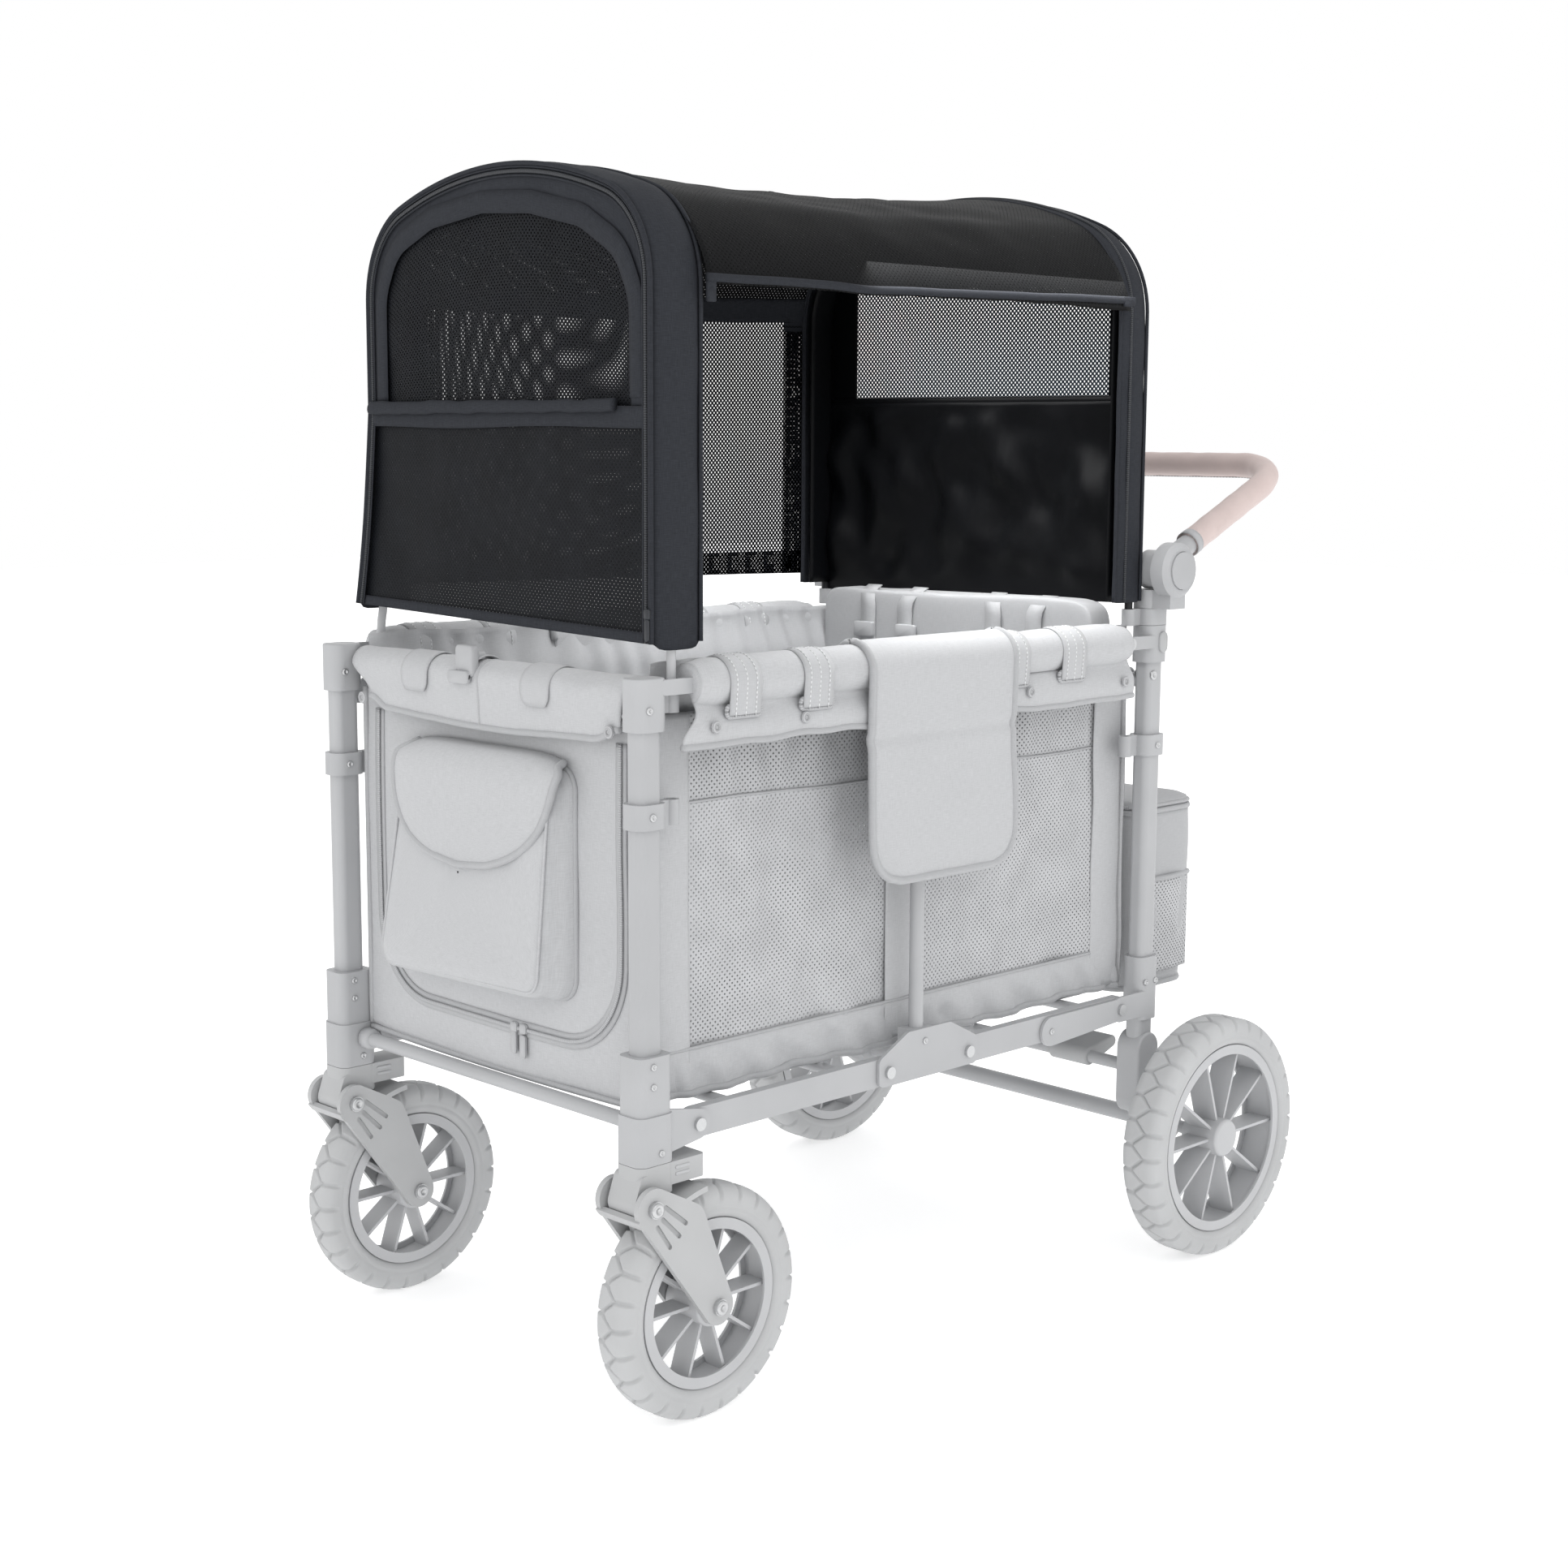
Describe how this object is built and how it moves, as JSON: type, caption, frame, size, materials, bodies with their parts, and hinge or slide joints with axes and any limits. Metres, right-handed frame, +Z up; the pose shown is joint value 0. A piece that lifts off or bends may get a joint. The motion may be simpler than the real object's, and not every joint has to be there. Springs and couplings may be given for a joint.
{
  "type": "folding stroller wagon",
  "caption": "Folding fabric wagon with a tilting push handle, swivel front casters, a foot brake, a rear bag and a mesh canopy on bent poles that lifts out.",
  "frame": {"origin": "on the ground under the middle of the outer box", "axes": "+Z up, +Y to the rear where the push handle is, +X to the right-hand side seen from behind"},
  "size_m": [0.736, 1.186, 1.333],
  "materials": {
    "frame_tube": "painted satin grey",
    "hard_plastic": "moulded matte grey",
    "steel": "zinc plated",
    "rim": "moulded satin",
    "tyre": "matte rubber",
    "fabric": "woven polyester",
    "leather": "stitched leather",
    "canopy_cloth": "black mesh and polyester",
    "canopy_pole": "glass-fibre rod",
    "rubber": "matte",
    "board": "cloth-covered board"
  },
  "bodies": {
    "rear_frame": {"rear_posts": "frame_tube", "rear_legs": "hard_plastic", "rear_brackets": "hard_plastic", "rear_collars": "hard_plastic", "rear_cross_tubes": "frame_tube", "rear_pins": "steel", "handle_hubs": "hard_plastic", "rear_panel": "fabric", "side_panels": "fabric", "rear_bag": "fabric", "rear_seat": "fabric"},
    "brake": {"brake_pedal": "rubber"},
    "handle": {"handle_bar": "frame_tube", "handle_grip": "leather"},
    "button_left": {"handle_button_left": "hard_plastic"},
    "button_right": {"handle_button_right": "hard_plastic"},
    "bag_lid": {"bag_lid": "fabric"},
    "rear_links": {"rear_side_rails": "frame_tube", "rear_floor_board": "board"},
    "centre": {"centre_brackets": "hard_plastic", "centre_posts": "frame_tube", "centre_pins": "steel", "side_flaps": "fabric"},
    "front_links": {"front_side_rails": "frame_tube", "front_floor_board": "board"},
    "front_frame": {"front_posts": "frame_tube", "front_caps": "hard_plastic", "front_castings": "hard_plastic", "front_cross_tubes": "frame_tube", "front_pins": "steel", "front_panel": "fabric", "front_roll": "fabric", "front_seat": "fabric"},
    "rear_top_rails": {"rear_top_rails": "frame_tube", "rear_side_rolls": "fabric"},
    "front_top_rails": {"front_top_rails": "frame_tube", "front_side_rolls": "fabric"},
    "canopy_rear": {"rear_canopy_poles": "canopy_pole", "canopy_rear_panel": "canopy_cloth", "canopy_roof": "canopy_cloth"},
    "canopy_front": {"front_canopy_poles": "canopy_pole", "canopy_front_panel": "canopy_cloth"},
    "caster_left": {"caster_housing_left": "hard_plastic", "fork_pin_left": "steel", "suspension_bumper_left": "rubber"},
    "fork_left": {"caster_fork_left": "hard_plastic", "front_axle_left": "steel"},
    "front_wheel_left": {"front_rim_left": "rim", "front_tyre_left": "tyre"},
    "rear_wheel_left": {"rear_rim_left": "rim", "rear_tyre_left": "tyre"},
    "caster_right": {"caster_housing_right": "hard_plastic", "fork_pin_right": "steel", "suspension_bumper_right": "rubber"},
    "fork_right": {"caster_fork_right": "hard_plastic", "front_axle_right": "steel"},
    "front_wheel_right": {"front_rim_right": "rim", "front_tyre_right": "tyre"},
    "rear_wheel_right": {"rear_rim_right": "rim", "rear_tyre_right": "tyre"}
  },
  "joints": [
    {"name": "fold", "type": "hinge", "parent": "rear_frame", "child": "rear_links", "pos_m": [0, 0.23898, 0.325], "axis": [-1, 0, 0], "range_deg": [0, 78], "deforming": ["side_panels", "front_side_rolls", "rear_side_rolls", "side_flaps", "front_seat", "rear_seat", "canopy_front_panel", "canopy_rear_panel", "canopy_roof"]},
    {"name": "fold_centre", "type": "hinge", "parent": "rear_links", "child": "centre", "pos_m": [0, -0.05202, 0.325], "axis": [1, 0, 0], "range_deg": [0, 78]},
    {"name": "fold_front_links", "type": "hinge", "parent": "centre", "child": "front_links", "pos_m": [0, -0.18802, 0.325], "axis": [1, 0, 0], "range_deg": [0, 78]},
    {"name": "fold_front_frame", "type": "hinge", "parent": "front_links", "child": "front_frame", "pos_m": [0, -0.47902, 0.325], "axis": [-1, 0, 0], "range_deg": [0, 78]},
    {"name": "fold_rear_top", "type": "hinge", "parent": "rear_frame", "child": "rear_top_rails", "pos_m": [0, 0.23898, 0.785], "axis": [-1, 0, 0], "range_deg": [0, 78]},
    {"name": "fold_front_top", "type": "hinge", "parent": "front_frame", "child": "front_top_rails", "pos_m": [0, -0.47902, 0.785], "axis": [1, 0, 0], "range_deg": [0, 78]},
    {"name": "handle_tilt", "type": "hinge", "parent": "rear_frame", "child": "handle", "pos_m": [0, 0.29898, 0.874], "axis": [1, 0, 0], "range_deg": [-48, 45]},
    {"name": "brake_press", "type": "hinge", "parent": "rear_frame", "child": "brake", "pos_m": [0.16, 0.29898, 0.236], "axis": [-1, 0, 0], "range_deg": [0, 18]},
    {"name": "bag_lid_open", "type": "hinge", "parent": "rear_frame", "child": "bag_lid", "pos_m": [0, 0.31248, 0.5725], "axis": [1, 0, 0], "range_deg": [0, 85]},
    {"name": "canopy_lift", "type": "slide", "parent": "rear_frame", "child": "canopy_rear", "axis": [0, 0, 1], "range_m": [0, 0.12]},
    {"name": "canopy_front_lift", "type": "slide", "parent": "front_frame", "child": "canopy_front", "axis": [0, 0, 1], "range_m": [0, 0.12]},
    {"name": "button_left_press", "type": "slide", "parent": "rear_frame", "child": "button_left", "axis": [1, 0, 0], "range_m": [0, 0.004], "stiffness_N_per_m": 800, "springref_m": -0.002},
    {"name": "caster_left_swivel", "type": "hinge", "parent": "front_frame", "child": "caster_left", "pos_m": [-0.266, -0.53902, 0.28], "axis": [0, 0, 1], "continuous": true},
    {"name": "suspension_left", "type": "hinge", "parent": "caster_left", "child": "fork_left", "pos_m": [-0.266, -0.55602, 0.254], "axis": [1, 0, 0], "range_deg": [0, 4], "stiffness_Nm_per_rad": 120, "springref_deg": -8.59, "deforming": ["suspension_bumper_left"]},
    {"name": "front_wheel_left_spin", "type": "hinge", "parent": "fork_left", "child": "front_wheel_left", "pos_m": [-0.266, -0.46602, 0.127], "axis": [1, 0, 0], "continuous": true},
    {"name": "rear_wheel_left_spin", "type": "hinge", "parent": "rear_frame", "child": "rear_wheel_left", "pos_m": [-0.341, 0.35398, 0.153], "axis": [1, 0, 0], "continuous": true},
    {"name": "button_right_press", "type": "slide", "parent": "rear_frame", "child": "button_right", "axis": [-1, 0, 0], "range_m": [0, 0.004], "stiffness_N_per_m": 800, "springref_m": -0.002},
    {"name": "caster_right_swivel", "type": "hinge", "parent": "front_frame", "child": "caster_right", "pos_m": [0.266, -0.53902, 0.28], "axis": [0, 0, 1], "continuous": true},
    {"name": "suspension_right", "type": "hinge", "parent": "caster_right", "child": "fork_right", "pos_m": [0.266, -0.55602, 0.254], "axis": [1, 0, 0], "range_deg": [0, 4], "stiffness_Nm_per_rad": 120, "springref_deg": -8.59, "deforming": ["suspension_bumper_right"]},
    {"name": "front_wheel_right_spin", "type": "hinge", "parent": "fork_right", "child": "front_wheel_right", "pos_m": [0.266, -0.46602, 0.127], "axis": [1, 0, 0], "continuous": true},
    {"name": "rear_wheel_right_spin", "type": "hinge", "parent": "rear_frame", "child": "rear_wheel_right", "pos_m": [0.341, 0.35398, 0.153], "axis": [1, 0, 0], "continuous": true}
  ],
  "couplings": [
    {"joint": "fold_centre", "follows": "fold", "ratio": 1},
    {"joint": "fold_front_links", "follows": "fold", "ratio": 1},
    {"joint": "fold_front_frame", "follows": "fold", "ratio": 1},
    {"joint": "fold_rear_top", "follows": "fold", "ratio": 1},
    {"joint": "fold_front_top", "follows": "fold", "ratio": 1},
    {"joint": "canopy_front_lift", "follows": "canopy_lift", "ratio": 1}
  ]
}
